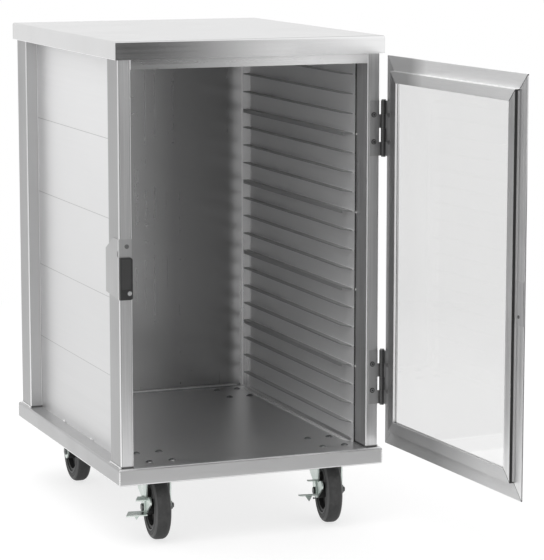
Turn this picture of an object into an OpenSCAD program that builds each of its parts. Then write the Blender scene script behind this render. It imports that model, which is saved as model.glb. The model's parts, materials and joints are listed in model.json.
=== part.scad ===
// Enclosed bun pan cabinet on swivel casters, with a glazed, hinged door.
// X runs to the right, Y to the back and Z up. The origin is on the floor, under the middle of the deck.

/* [Pans] */
// Width of the pans that the ledges carry
pan_w = 457.2; // [440:0.2:470]
// Length of the pans, front to back
pan_l = 660.4; // [600:0.2:700]
// Room left at each side between a pan and the side wall
pan_side_room = 7; // [5:0.5:10]
// Room left behind a pan, before the back wall
pan_end_room = 3.6; // [2:0.2:10]
// Height from one ledge to the next
ledge_pitch = 38.1; // [36:0.1:45]
// How far a ledge stands out from its wall
ledge_reach = 13; // [11:0.5:16]
// Thickness of a ledge
ledge_t = 2.5; // [2:0.1:4]
// Length over which the ledges taper away at the front
ledge_lead_in = 40; // [20:1:60]

/* [Shell] */
// Thickness of the sheet of the deck, the cover and the back wall
sheet_t = 2; // [1.5:0.1:2.5]
// Thickness of the side panels
panel_t = 2.5; // [2:0.1:3]
// Width of a corner post, side to side
post_w = 25.4; // [22:0.2:30]
// Depth of a corner post, front to back
post_d = 62; // [50:1:70]
// Wall of the posts and rails
tube_wall = 2; // [1.5:0.1:3]
// Radius of the long edges of the posts
post_edge_r = 2; // [1:0.5:3]
// How far the deck and the cover stand out past the posts at the sides
side_overhang = 6.5; // [5:0.5:10]
// How far the deck and the cover stand out past the posts at the ends
end_overhang = 9.5; // [8:0.5:12]
// Radius of the bent edge round the deck and the cover
fold_r = 4; // [3:0.5:6]
// Height of the deck's edge
deck_skirt = 32; // [20:1:40]
// Height of the cover's edge
cover_skirt = 34; // [25:1:35]
// Height of the side and rear top rails
top_rail_h = 38.1; // [35:0.1:45]
// Height of the front header
header_h = 50.8; // [45:0.1:60]
// How far the side panels stay behind the front of the posts
panel_front_inset = 52; // [45:1:55]
// How far the side panels stay before the back of the posts
panel_rear_inset = 43; // [40:1:55]

/* [Door] */
// Angle at which the door stands open
door_open = 93; // [0:1:180]
// Gap between the posts' front and the door's edge flange
door_standoff = 9; // [8.5:0.5:12]
// Height of the door's lower edge above the deck
door_lift = 9; // [5:0.5:15]
// Gap between the door's upper edge and the cover
door_headroom = 3.6; // [2:0.2:10]
// Width of the flange round the door frame
flange_w = 28; // [27:0.5:32]
// Thickness of that flange
flange_t = 3; // [2.5:0.1:4]
// Width of the raised part of the door frame
raised_w = 22; // [20:0.5:26]
// How far the raised part stands back from the flange, into the doorway
raised_step = 8.6; // [7.5:0.1:8.6]
// Thickness of the window sheet
window_t = 3; // [2:0.1:4]
// How deep the window lies below the raised part
window_inset = 4.5; // [3:0.1:5]

/* [Hinges and catch] */
// Radius of a hinge barrel
barrel_r = 5.5; // [5:0.1:5.8]
// Radius of a hinge pin
hinge_pin_r = 3; // [2.5:0.1:3.2]
// Height of one of a hinge's four knuckles
knuckle_h = 26.6; // [20:0.1:30]
// Thickness of the hinge leaves
leaf_t = 2; // [1.5:0.1:2.5]
// Distance from the door's top down to the upper hinge's middle
upper_hinge_drop = 140; // [100:1:200]
// Distance from the door's bottom up to the lower hinge's middle
lower_hinge_rise = 130; // [100:1:200]
// Height of the catch's lower end above the deck
catch_rise = 322; // [200:1:450]
// Height of the catch bracket
catch_h = 114; // [95:1:130]
// Height of the magnet block
magnet_h = 79.5; // [60:0.5:85]

/* [Casters] */
// Height from the floor to the top of the caster plates
caster_h = 154; // [152:0.5:160]
// Diameter of the wheels
wheel_d = 127; // [122:0.5:128]
// Width of the tyres
tyre_w = 31.8; // [28:0.1:34]
// Distance from the swivel axis to the axle
caster_lead = 20; // [16:1:30]
// Distance of the left casters' swivel axes from the deck's left edge
caster_left_inset = 98; // [80:1:105]
// Distance of the right casters' swivel axes from the deck's right edge
caster_right_inset = 84; // [80:1:105]
// Distance of the casters' swivel axes from the deck's front and rear edges
caster_end_inset = 84.5; // [80:0.5:102]
// Direction of the front left caster, 0 trails to the front
swivel_front_left = -5.5; // [-180:0.1:180]
// Direction of the front right caster
swivel_front_right = -9.1; // [-180:0.1:180]
// Direction of the rear left caster
swivel_rear_left = -2.5; // [-180:0.1:180]
// Direction of the rear right caster
swivel_rear_right = 5; // [-180:0.1:180]
// Tilt of the left brake lever, 0 is down
brake_tilt_left = 0; // [-18:1:0]
// Tilt of the right brake lever, 0 is down
brake_tilt_right = -18; // [-18:1:0]

/* [Hidden] */
$fn = 48;

// Overshoot of a cut, so that no skin of material stays behind
cut = 1;

// Colours, as the photo shows them
bright_sheet = [0.86, 0.86, 0.86];
brushed_post = [0.66, 0.66, 0.66];
dull_sheet = [0.55, 0.55, 0.55];
dark_steel = [0.32, 0.32, 0.32];
zinc = [0.78, 0.83, 0.80];
black_plastic = [0.13, 0.13, 0.13];
tyre_grey = [0.22, 0.22, 0.22];
hub_grey = [0.16, 0.16, 0.17];
clear_sheet = [0.90, 0.92, 0.92, 0.35];

// Rows of side panels, and the ledges on each
panel_rows = 5;
ledges_per_panel = 4;

// Faces across the cabinet, as distances from its middle
wall_in_x = pan_w / 2 + pan_side_room;
post_in_x = wall_in_x + panel_t;
post_out_x = post_in_x + post_w;
deck_w = 2 * (post_out_x + side_overhang);

// Faces along the cabinet
frame_d = pan_l + pan_end_room + sheet_t;
front_y = -frame_d / 2;
rear_y = frame_d / 2;
deck_d = frame_d + 2 * end_overhang;
back_in_y = rear_y - sheet_t;
panel_front_y = front_y + panel_front_inset;
panel_rear_y = rear_y - panel_rear_inset;

// Heights above the floor
deck_z = caster_h + sheet_t;
panel_h = ledges_per_panel * ledge_pitch;
panels_top_z = deck_z + panel_rows * panel_h;
under_cover_z = panels_top_z + top_rail_h;
cover_z = under_cover_z + sheet_t;
cover_lip_z = cover_z - cover_skirt;

// Side panel details: the foot of each row and the hook that joins it to the row below
foot_t = 1.6;
foot_lip_h = 6.4;
hook_gap = 0.3;

// Flanges of the back sheet, along the posts and on the deck
back_side_flange = 15;
back_foot_flange = 8;

// Door frame, seen square on
door_w = 2 * post_out_x;
door_z = deck_z + door_lift;
door_h = cover_lip_z - door_headroom - door_z;
frame_w = flange_w + raised_w;
flange_in_y = front_y - door_standoff;
flange_out_y = flange_in_y - flange_t;
frame_t = flange_t + raised_step;
door_wall = 2;
window_groove = 9;
window_edge_gap = 1;
groove_y = frame_t - window_inset - window_t;

// Hinges
hinge_x = post_out_x + side_overhang;
hinge_stand = 5;
hinge_y = front_y - hinge_stand;
hinge_h = 4 * knuckle_h;
knuckle_gap = 0.3;
pin_clearance = 0.05;
pin_head_r = 4.4;
pin_head_h = 2;
frame_leaf_w = 20;
door_leaf_w = 25;
leaf_edge_gap = 1.5;
hinge_screw_inset = 13;
hinge_screw_x = post_out_x - hinge_screw_inset;
hinge_screw_rise = 27.2;
upper_hinge_z = door_z + door_h - upper_hinge_drop - hinge_h / 2;
lower_hinge_z = door_z + lower_hinge_rise - hinge_h / 2;

// Screws and rivets
screw_r = 2;
screw_head_r = 4.2;
screw_head_h = 1.6;
screw_clearance = 0.1;
screw_tail = 4;
recess_w = 0.8;
rivet_head_r = 3.2;
rivet_head_h = 0.6;

// Catch on the left post
catch_z = deck_z + catch_rise;
catch_t = 1.5;
catch_leg_w = 24.5;
catch_depth = 77;
catch_foot_rise = 6;
catch_rear_drop = 25;
catch_slope_l = 46;
catch_slot_w = 5;
catch_slot_h = 10;
catch_slot_rise = 81;
strike_t = 1.2;
strike_gap = 1;
magnet_t = door_standoff - catch_t - strike_t - strike_gap;
magnet_corner_r = 5;
catch_screw_inset = 14.5;
catch_screw_x = -post_out_x + catch_screw_inset;
catch_screw_rise = 100;
magnet_screw_inset = 18.5;
magnet_screw_x = -post_out_x + magnet_screw_inset;
magnet_screw_rise = 12;
counterbore_r = 4.6;
counterbore_depth = 2;
strike_edge = 1;
strike_rivet_inset = 17;
strike_rivet_x = -post_out_x + strike_rivet_inset;
strike_rivet_rise = 16;

// Caster plates and their bolts
plate_w = 68;
plate_l = 100;
plate_t = 3.5;
plate_corner_r = 6;
bolt_x = 46;
bolt_y = 78;
bolt_r = 3.9;
bolt_hole_r = 4.2;
bolt_head_r = 7.5;
bolt_head_h = 3.6;
nut_flats = 13;
nut_h = 6;
bolt_tail = 1.5;
bolt_head_root = 0.5;

// Swivel bearing
kingpin_r = 6;
kingpin_head_r = 10;
kingpin_head_h = 3;
kingpin_shoulder_r = 12;
ball_r = 2.2;
ball_ring_r = 20;
balls_per_ring = 16;
race_r = 28;
race_wall = 4;
race_gap = 0.3;
ball_gap = 0.2;
race_lip_drop = 1;
crown_t = 4;
race_h = 4.9;
crown_top_z = caster_h - plate_t - race_h;

// Fork, axle and wheel
axle_z = wheel_d / 2;
axle_r = 4.8;
run_clearance = 0.05;
side_gap = 0.3;
leg_t = 3;
leg_side_room = 6;
leg_gap_x = tyre_w / 2 + leg_side_room;
leg_out_x = leg_gap_x + leg_t;
crown_bend_r = 5;
leg_crown_half = 27;
leg_crown_drop = 5;
leg_front = 36;
leg_rear = 35;
leg_flare_h = 9;
leg_heel_z = 27;
leg_neck_y = 20;
leg_neck_z = 11.5;
leg_foot_r = 15;
lug_y = 40;
lug_z = 19;
lug_r = 9;
head_h = 3;
head_r = 7.5;
axle_nut_h = 5;
axle_nut_r = 8.5;
axle_tail = 3;
tyre_depth = 20.5;
hub_r = wheel_d / 2 - tyre_depth;
hub_rim_t = 6;
hub_boss_r = 15;
hub_rim_w = 25;
hub_web_t = 7;
tyre_shoulder_r = 11.5;
tyre_side_in = 1.6;
tyre_bead_w = 4;

// Brake lever, measured from the axle
brake_t = 2.5;
brake_strip_d = 24;
brake_tab_z = 20;
brake_tab_w = 12;
brake_tab_flare = 10;
brake_tab_l = 29;
brake_head_room = 0.8;
brake_foot_z = -head_r - brake_head_room;
brake_foot_w = 30;
brake_foot_flare = 12;
brake_foot_l = 33;
brake_rear = 5;
brake_rib_w = 14;
brake_rib_h = 11;
brake_rib_out = 8;

// A flat rectangle with round corners, from the origin
module round_rect(w, d, r) {
    translate([r, 0]) square([w - 2 * r, d]);
    translate([0, r]) square([w, d - 2 * r]);
    for (x = [r, w - r], y = [r, d - r]) translate([x, y]) circle(r);
}

// The outline of a folded sheet seen end on: round at the top, square at the bottom
module fold_outline(w, h, r) {
    translate([-w / 2, 0]) square([w, h - r]);
    translate([-w / 2 + r, 0]) square([w - 2 * r, h]);
    for (x = [-w / 2 + r, w / 2 - r]) translate([x, h - r]) circle(r);
}

// A block whose top edges are all folded to one radius
module folded_block(w, d, h, r) {
    intersection() {
        translate([0, d / 2, 0]) rotate([90, 0, 0]) linear_extrude(d) fold_outline(w, h, r);
        translate([-w / 2, 0, 0]) rotate([90, 0, 90]) linear_extrude(w) fold_outline(d, h, r);
    }
}

// An open pan, upside down, standing on z = 0
module upturned_pan(w, d, h) {
    difference() {
        folded_block(w, d, h, fold_r);
        translate([0, 0, -cut])
            folded_block(w - 2 * sheet_t, d - 2 * sheet_t, h - sheet_t + cut, fold_r - sheet_t);
    }
}

module deck_pan() {
    color(dull_sheet) difference() {
        translate([0, 0, deck_z - deck_skirt]) upturned_pan(deck_w, deck_d, deck_skirt);
        for (i = [0 : 3]) at_caster(i) plate_corners() cylinder(h = deck_z + cut, r = bolt_hole_r);
    }
}

module cover_pan() {
    color(bright_sheet) translate([0, 0, cover_lip_z]) upturned_pan(deck_w, deck_d, cover_skirt);
}

// A corner post, with its outer front corner at the origin and its body to +X and +Y
module post_tube() {
    translate([0, 0, deck_z]) linear_extrude(under_cover_z - deck_z) difference() {
        round_rect(post_w, post_d, post_edge_r);
        translate([tube_wall, tube_wall]) square([post_w - 2 * tube_wall, post_d - 2 * tube_wall]);
    }
}

// A hole in a post's front wall for a screw at height z
module front_screw_hole(x, z) {
    translate([x, front_y - cut, z]) rotate([-90, 0, 0])
        cylinder(h = tube_wall + 2 * cut, r = screw_r + screw_clearance);
}

module post_front_left() {
    color(brushed_post) difference() {
        translate([-post_out_x, front_y, 0]) post_tube();
        front_screw_hole(catch_screw_x, catch_z + catch_screw_rise);
        front_screw_hole(magnet_screw_x, catch_z + magnet_screw_rise);
    }
}

module post_front_right() {
    color(brushed_post) difference() {
        translate([post_in_x, front_y, 0]) post_tube();
        for (z = [upper_hinge_z, lower_hinge_z], rise = hinge_screw_rises())
            front_screw_hole(hinge_screw_x, z + rise);
    }
}

module post_rear_left() {
    color(brushed_post) translate([-post_out_x, rear_y - post_d, 0]) post_tube();
}

module post_rear_right() {
    color(brushed_post) translate([post_in_x, rear_y - post_d, 0]) post_tube();
}

// A square-cornered tube, from the origin along +X
module rail_tube(length, d, h) {
    rotate([90, 0, 90]) linear_extrude(length) difference() {
        square([d, h]);
        translate([tube_wall, tube_wall]) square([d - 2 * tube_wall, h - 2 * tube_wall]);
    }
}

module header_front() {
    color(bright_sheet) translate([-post_in_x, front_y + cut, under_cover_z - header_h])
        rail_tube(2 * post_in_x, post_w, header_h);
}

module header_rear() {
    color(bright_sheet) translate([-post_in_x, back_in_y - post_w, panels_top_z])
        rail_tube(2 * post_in_x, post_w, top_rail_h);
}

// The side rails lie on the top panels and against the inner faces of the posts
module header_left() {
    color(bright_sheet) translate([-post_in_x + post_w, panel_front_y, panels_top_z])
        rotate([0, 0, 90]) rail_tube(panel_rear_y - panel_front_y, post_w, top_rail_h);
}

module header_right() {
    color(bright_sheet) translate([post_in_x, panel_front_y, panels_top_z])
        rotate([0, 0, 90]) rail_tube(panel_rear_y - panel_front_y, post_w, top_rail_h);
}

module back_sheet() {
    color(dull_sheet) {
        translate([-post_in_x, back_in_y, deck_z])
            cube([2 * post_in_x, sheet_t, under_cover_z - deck_z]);
        for (x = [-post_in_x, post_in_x - sheet_t])
            translate([x, back_in_y - back_side_flange, deck_z])
                cube([sheet_t, back_side_flange, panels_top_z - deck_z]);
        translate([-post_in_x, back_in_y - back_foot_flange, deck_z])
            cube([2 * post_in_x, back_foot_flange, sheet_t]);
    }
}

// Section of one side panel: x runs inward from its outer face, y is up from its foot
module panel_section(with_lip) {
    square([panel_t, panel_h]);
    square([panel_t + ledge_reach, foot_t]);
    if (with_lip)
        translate([panel_t + ledge_reach - foot_t, -foot_lip_h]) square([foot_t, foot_lip_h + foot_t]);
    for (i = [1 : ledges_per_panel - 1])
        translate([0, i * ledge_pitch + foot_t - ledge_t]) square([panel_t + ledge_reach, ledge_t]);
    translate([0, panel_h - foot_t]) square([panel_t + ledge_reach - foot_t - hook_gap, foot_t]);
}

// One row of the right wall: its ledges point to -X, and taper away at the front
module right_row(row) {
    wedge_end = ledge_reach + cut;
    translate([post_in_x, panel_rear_y, deck_z + (row - 1) * panel_h]) difference() {
        mirror([1, 0, 0]) rotate([90, 0, 0])
            linear_extrude(panel_rear_y - panel_front_y) panel_section(row > 1);
        translate([-panel_t, panel_front_y - panel_rear_y, -foot_lip_h - cut])
            linear_extrude(panel_h + foot_lip_h + 2 * cut)
                polygon([
                    [0, 0],
                    [-wedge_end, ledge_lead_in * wedge_end / ledge_reach],
                    [-wedge_end, -cut],
                    [0, -cut]
                ]);
    }
}

module left_row(row) {
    mirror([1, 0, 0]) right_row(row);
}

module left_panel_1() { color(bright_sheet) left_row(1); }
module left_panel_2() { color(bright_sheet) left_row(2); }
module left_panel_3() { color(bright_sheet) left_row(3); }
module left_panel_4() { color(bright_sheet) left_row(4); }
module left_panel_5() { color(bright_sheet) left_row(5); }

module right_panel_1() { color(dull_sheet) right_row(1); }
module right_panel_2() { color(dull_sheet) right_row(2); }
module right_panel_3() { color(dull_sheet) right_row(3); }
module right_panel_4() { color(dull_sheet) right_row(4); }
module right_panel_5() { color(dull_sheet) right_row(5); }

// The bracket wraps the front corner of the left post
module catch_bracket() {
    side_x = -post_out_x - catch_t;
    color(zinc) difference() {
        union() {
            translate([side_x, front_y - catch_t, catch_z])
                cube([catch_t + catch_leg_w, catch_t, catch_h]);
            translate([side_x, front_y - catch_t, catch_z]) rotate([90, 0, 90]) linear_extrude(catch_t)
                polygon([
                    [0, 0],
                    [catch_depth, catch_foot_rise],
                    [catch_depth, catch_h - catch_rear_drop],
                    [catch_depth - catch_slope_l, catch_h],
                    [0, catch_h]
                ]);
        }
        translate([side_x - cut, front_y + catch_t, catch_z + catch_slot_rise])
            cube([catch_t + 2 * cut, catch_slot_w, catch_slot_h]);
        translate([0, -catch_t, 0]) front_screw_hole(catch_screw_x, catch_z + catch_screw_rise);
        translate([0, -catch_t, 0]) front_screw_hole(magnet_screw_x, catch_z + magnet_screw_rise);
    }
}

module magnet_block() {
    face_y = front_y - catch_t - magnet_t;
    r = magnet_corner_r;
    color(black_plastic) difference() {
        translate([-post_out_x, front_y - catch_t, catch_z]) rotate([90, 0, 0]) linear_extrude(magnet_t) {
            square([catch_leg_w - r, magnet_h]);
            translate([0, r]) square([catch_leg_w, magnet_h - 2 * r]);
            for (z = [r, magnet_h - r]) translate([catch_leg_w - r, z]) circle(r);
        }
        translate([magnet_screw_x, face_y - cut, catch_z + magnet_screw_rise]) rotate([-90, 0, 0]) {
            cylinder(h = magnet_t + 2 * cut, r = screw_r + screw_clearance);
            cylinder(h = counterbore_depth + cut, r = counterbore_r);
        }
    }
}

// A pan-head screw: the underside of its head is at the origin, and its shank runs to +Y
module pan_screw(shank) {
    rotate([-90, 0, 0]) cylinder(h = shank, r = screw_r);
    rotate([90, 0, 0]) difference() {
        cylinder(h = screw_head_h, r = screw_head_r);
        for (turn = [0, 90]) rotate([0, 0, turn])
            translate([-screw_head_r / 2, -recess_w / 2, screw_head_h / 2])
                cube([screw_head_r, recess_w, screw_head_h]);
    }
}

module frame_screws() {
    color(dark_steel) {
        for (z = [upper_hinge_z, lower_hinge_z], rise = hinge_screw_rises())
            translate([hinge_screw_x, front_y - leaf_t, z + rise]) pan_screw(leaf_t + tube_wall + screw_tail);
        translate([catch_screw_x, front_y - catch_t, catch_z + catch_screw_rise])
            pan_screw(catch_t + tube_wall + screw_tail);
        translate([
            magnet_screw_x,
            front_y - catch_t - magnet_t + counterbore_depth,
            catch_z + magnet_screw_rise
        ])
            pan_screw(magnet_t - counterbore_depth + catch_t + tube_wall + screw_tail);
    }
}

// Heights of a hinge's two screws above its lower end
function hinge_screw_rises() = [hinge_screw_rise, hinge_h - hinge_screw_rise];

// One knuckle with its bore; place 0 is the lowest
module knuckle(place) {
    translate([hinge_x, hinge_y, place * knuckle_h + knuckle_gap / 2])
        cylinder(h = knuckle_h - knuckle_gap, r = barrel_r);
}

module knuckle_bores() {
    translate([hinge_x, hinge_y, -cut]) cylinder(h = hinge_h + 2 * cut, r = hinge_pin_r + pin_clearance);
}

// The leaf on the post: it carries the first and third knuckles, counted from below
module frame_leaf(z) {
    leaf_y = front_y - leaf_t;
    color(dark_steel) translate([0, 0, z]) difference() {
        union() {
            translate([post_out_x - frame_leaf_w, leaf_y, 0])
                cube([frame_leaf_w - leaf_edge_gap, leaf_t, hinge_h]);
            for (place = [0, 2]) {
                knuckle(place);
                translate([post_out_x - leaf_edge_gap - cut, leaf_y, place * knuckle_h + knuckle_gap / 2])
                    cube([hinge_x - post_out_x + leaf_edge_gap + cut, leaf_t, knuckle_h - knuckle_gap]);
            }
        }
        knuckle_bores();
        for (rise = hinge_screw_rises()) translate([0, -leaf_t, rise]) front_screw_hole(hinge_screw_x, 0);
    }
}

module upper_hinge_frame_leaf() { frame_leaf(upper_hinge_z); }
module lower_hinge_frame_leaf() { frame_leaf(lower_hinge_z); }

// The pins stand in the post's leaves, with a head below and a head above
module hinge_pins() {
    color(dark_steel) for (z = [upper_hinge_z, lower_hinge_z]) translate([hinge_x, hinge_y, z]) {
        translate([0, 0, -pin_head_h]) cylinder(h = hinge_h + 2 * pin_head_h, r = hinge_pin_r);
        translate([0, 0, knuckle_gap / 2 - pin_head_h]) cylinder(h = pin_head_h, r = pin_head_r);
        translate([0, 0, hinge_h + knuckle_gap / 2]) cylinder(h = pin_head_h, r = pin_head_r);
    }
}

// Turns the door's pieces, which are drawn shut, to where the door stands
module on_door() {
    translate([hinge_x, hinge_y, 0]) rotate([0, 0, door_open]) translate([-hinge_x, -hinge_y, 0]) children();
}

// The door frame's lower left outer corner, when shut
module at_door_corner() {
    on_door() translate([-post_out_x, flange_out_y, door_z]) children();
}

// Section of the door frame: x runs inward from the edge, y from the outer face into the doorway
module door_section() {
    hollow_w = raised_w - 2 * door_wall - window_groove;
    difference() {
        union() {
            square([frame_w, flange_t]);
            translate([flange_w, 0]) square([raised_w, frame_t]);
        }
        translate([flange_w + door_wall, door_wall]) square([hollow_w, frame_t - 2 * door_wall]);
        translate([frame_w - window_groove, groove_y]) square([window_groove + cut, window_t]);
    }
}

// A mitred side of the door frame, drawn up the left edge
module mitred_stile() {
    intersection() {
        linear_extrude(door_h) door_section();
        translate([0, frame_t, 0]) rotate([90, 0, 0]) linear_extrude(frame_t)
            polygon([[0, 0], [frame_w, frame_w], [frame_w, door_h - frame_w], [0, door_h]]);
    }
}

// A mitred end of the door frame, drawn along the bottom edge
module mitred_rail() {
    intersection() {
        rotate([90, 0, 90]) linear_extrude(door_w) mirror([1, -1, 0]) door_section();
        translate([0, frame_t, 0]) rotate([90, 0, 0]) linear_extrude(frame_t)
            polygon([[0, 0], [door_w, 0], [door_w - frame_w, frame_w], [frame_w, frame_w]]);
    }
}

module door_free_stile() {
    color(brushed_post) at_door_corner() mitred_stile();
}

module door_hinge_stile() {
    color(dark_steel) difference() {
        at_door_corner() translate([door_w, 0, 0]) mirror([1, 0, 0]) mitred_stile();
        on_door() for (z = [upper_hinge_z, lower_hinge_z], rise = hinge_screw_rises())
            translate([hinge_screw_x, flange_out_y - cut, z + rise]) rotate([-90, 0, 0])
                cylinder(h = flange_t + 2 * cut, r = screw_r + screw_clearance);
    }
}

module door_bottom_rail() {
    color(brushed_post) at_door_corner() mitred_rail();
}

module door_top_rail() {
    color(bright_sheet) at_door_corner() translate([0, 0, door_h]) mirror([0, 0, 1]) mitred_rail();
}

module door_window() {
    inset = frame_w - window_groove + window_edge_gap;
    color(clear_sheet) at_door_corner() translate([inset, groove_y, inset])
        cube([door_w - 2 * inset, window_t, door_h - 2 * inset]);
}

// The leaf on the door: it carries the second and fourth knuckles
module door_leaf(z) {
    on_door() color(dark_steel) translate([0, 0, z]) difference() {
        union() {
            translate([post_out_x - leaf_edge_gap - door_leaf_w, flange_in_y, 0])
                cube([door_leaf_w, leaf_t, hinge_h]);
            for (place = [1, 3]) {
                knuckle(place);
                translate([post_out_x - leaf_edge_gap - cut, flange_in_y, place * knuckle_h + knuckle_gap / 2])
                    cube([hinge_x - post_out_x + leaf_edge_gap + cut, leaf_t, knuckle_h - knuckle_gap]);
            }
        }
        knuckle_bores();
        for (rise = hinge_screw_rises()) translate([hinge_screw_x, flange_in_y - cut, rise])
            rotate([-90, 0, 0]) cylinder(h = leaf_t + 2 * cut, r = screw_r + screw_clearance);
    }
}

module upper_hinge_door_leaf() { door_leaf(upper_hinge_z); }
module lower_hinge_door_leaf() { door_leaf(lower_hinge_z); }

// The steel plate on the free stile that the magnet holds
module strike_plate() {
    on_door() color(brushed_post) translate([-post_out_x + strike_edge, flange_in_y, catch_z + strike_edge])
        cube([catch_leg_w - 2 * strike_edge, strike_t, magnet_h - 2 * strike_edge]);
}

// Rivets with their heads on the inner side, the shanks of the hinge rivets through the flange
module door_rivets() {
    on_door() color(zinc) {
        for (z = [upper_hinge_z, lower_hinge_z], rise = hinge_screw_rises())
            translate([hinge_screw_x, flange_in_y + leaf_t, z + rise]) mirror([0, 1, 0])
                pan_screw(leaf_t + flange_t);
        translate([strike_rivet_x, flange_in_y + strike_t, catch_z + strike_rivet_rise])
            rotate([-90, 0, 0]) cylinder(h = rivet_head_h, r = rivet_head_r);
    }
}

// Where each caster's swivel axis stands, and which way it trails
left_caster_x = -deck_w / 2 + caster_left_inset;
right_caster_x = deck_w / 2 - caster_right_inset;
rear_caster_y = deck_d / 2 - caster_end_inset;
caster_places = [
    [left_caster_x, -rear_caster_y, swivel_front_left],
    [right_caster_x, -rear_caster_y, swivel_front_right],
    [left_caster_x, rear_caster_y, swivel_rear_left],
    [right_caster_x, rear_caster_y, swivel_rear_right]
];

module at_caster(i) {
    translate([caster_places[i][0], caster_places[i][1], 0]) children();
}

module on_swivel(i) {
    at_caster(i) rotate([0, 0, caster_places[i][2]]) children();
}

module plate_corners() {
    for (x = [-bolt_x / 2, bolt_x / 2], y = [-bolt_y / 2, bolt_y / 2]) translate([x, y, 0]) children();
}

// The plate with its kingpin, which is riveted over below the fork's crown
module caster_plate(i) {
    plate_z = caster_h - plate_t;
    crown_under_z = crown_top_z - crown_t;
    color(zinc) at_caster(i) {
        difference() {
            translate([-plate_w / 2, -plate_l / 2, plate_z]) linear_extrude(plate_t)
                round_rect(plate_w, plate_l, plate_corner_r);
            translate([0, 0, plate_z - cut]) plate_corners() cylinder(h = plate_t + 2 * cut, r = bolt_hole_r);
        }
        translate([0, 0, crown_top_z + race_gap])
            cylinder(h = plate_z - crown_top_z - race_gap, r = kingpin_shoulder_r);
        translate([0, 0, crown_under_z - race_gap - kingpin_head_h]) {
            cylinder(h = kingpin_head_h, r = kingpin_head_r);
            cylinder(h = plate_z - crown_under_z + race_gap + kingpin_head_h, r = kingpin_r);
        }
    }
}

module front_left_caster_plate() { caster_plate(0); }
module front_right_caster_plate() { caster_plate(1); }
module rear_left_caster_plate() { caster_plate(2); }
module rear_right_caster_plate() { caster_plate(3); }

module caster_bolts() {
    ball_r2 = (bolt_head_r * bolt_head_r + bolt_head_h * bolt_head_h) / (2 * bolt_head_h);
    nut_top_z = caster_h - plate_t;
    bolt_end_z = nut_top_z - nut_h - bolt_tail;
    color(dark_steel) for (i = [0 : 3]) at_caster(i) plate_corners() {
        intersection() {
            translate([0, 0, deck_z + bolt_head_h - ball_r2]) sphere(ball_r2);
            translate([0, 0, deck_z]) cylinder(h = bolt_head_h + cut, r = bolt_head_r + cut);
        }
        translate([0, 0, bolt_end_z]) cylinder(h = deck_z + bolt_head_root - bolt_end_z, r = bolt_r);
        difference() {
            translate([0, 0, nut_top_z - nut_h]) cylinder(h = nut_h, r = nut_flats / sqrt(3), $fn = 6);
            translate([0, 0, nut_top_z - nut_h - cut]) cylinder(h = nut_h + 2 * cut, r = bolt_r + run_clearance);
        }
    }
}

// The balls run between the plate and the crown of the fork
module swivel_balls() {
    color(zinc) for (i = [0 : 3], k = [0 : balls_per_ring - 1])
        at_caster(i) rotate([0, 0, k * 360 / balls_per_ring])
            translate([ball_ring_r, 0, caster_h - plate_t - ball_r - ball_gap]) sphere(ball_r);
}

// Where the line from point p touches a circle of radius r round c, on the given side
function tangent(p, c, r, side) =
    let(d = p - c, a = atan2(d[1], d[0]) + side * acos(r / norm(d)))
    c + r * [cos(a), sin(a)];

// The fork seen from its side: y and z, with a narrow crown, a wide middle and a round foot
module fork_side() {
    foot = [-caster_lead, axle_z];
    flare_z = crown_top_z - leg_crown_drop;
    front = [-leg_front, flare_z - leg_flare_h];
    heel = [leg_rear, axle_z + leg_heel_z];
    neck = [leg_neck_y - caster_lead, axle_z + leg_neck_z];
    translate(foot) circle(leg_foot_r);
    polygon([
        [-leg_crown_half, crown_top_z],
        [-leg_crown_half, flare_z],
        front,
        tangent(front, foot, leg_foot_r, 1),
        foot,
        tangent(neck, foot, leg_foot_r, -1),
        neck,
        heel,
        [leg_rear, flare_z - leg_flare_h],
        [leg_crown_half, flare_z],
        [leg_crown_half, crown_top_z]
    ]);
}

// The lug on a braked fork's left leg, which the lever's spring hooks on to
module brake_lug() {
    foot = [-caster_lead, axle_z];
    lug = foot + [-lug_y, lug_z];
    d = lug - foot;
    lean = acos((leg_foot_r - lug_r) / norm(d));
    low = atan2(d[1], d[0]) - lean;
    high = atan2(d[1], d[0]) + lean;
    translate([-leg_out_x, 0, 0]) rotate([90, 0, 90]) linear_extrude(leg_t) {
        translate(foot) circle(leg_foot_r);
        translate(lug) circle(lug_r);
        polygon([
            foot + leg_foot_r * [cos(low), sin(low)],
            lug + lug_r * [cos(low), sin(low)],
            lug + lug_r * [cos(high), sin(high)],
            foot + leg_foot_r * [cos(high), sin(high)]
        ]);
    }
}

// The fork seen from the front: two legs and a crown, bent from one strip
module fork_front() {
    low_z = axle_z - leg_foot_r;
    translate([0, low_z]) difference() {
        fold_outline(2 * leg_out_x, crown_top_z - low_z, crown_bend_r);
        translate([0, -cut])
            fold_outline(2 * leg_gap_x, crown_top_z - crown_t - low_z + cut, crown_bend_r - leg_t);
    }
}

module fork(i, braked) {
    color(zinc) on_swivel(i) difference() {
        union() {
            intersection() {
                translate([0, leg_rear, 0]) rotate([90, 0, 0])
                    linear_extrude(leg_rear + leg_front + cut) fork_front();
                translate([-leg_out_x, 0, 0]) rotate([90, 0, 90]) linear_extrude(2 * leg_out_x) fork_side();
            }
            if (braked) brake_lug();
            translate([0, 0, crown_top_z - crown_t]) cylinder(h = crown_t, r = race_r);
            translate([0, 0, crown_top_z]) difference() {
                cylinder(h = race_h - race_lip_drop, r = race_r);
                translate([0, 0, -cut]) cylinder(h = race_h + 2 * cut, r = race_r - race_wall);
            }
        }
        translate([0, 0, crown_top_z - crown_t - cut])
            cylinder(h = crown_t + 2 * cut, r = kingpin_r + run_clearance);
        translate([-leg_out_x - cut, -caster_lead, axle_z]) rotate([0, 90, 0])
            cylinder(h = 2 * (leg_out_x + cut), r = axle_r + run_clearance);
    }
}

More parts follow.
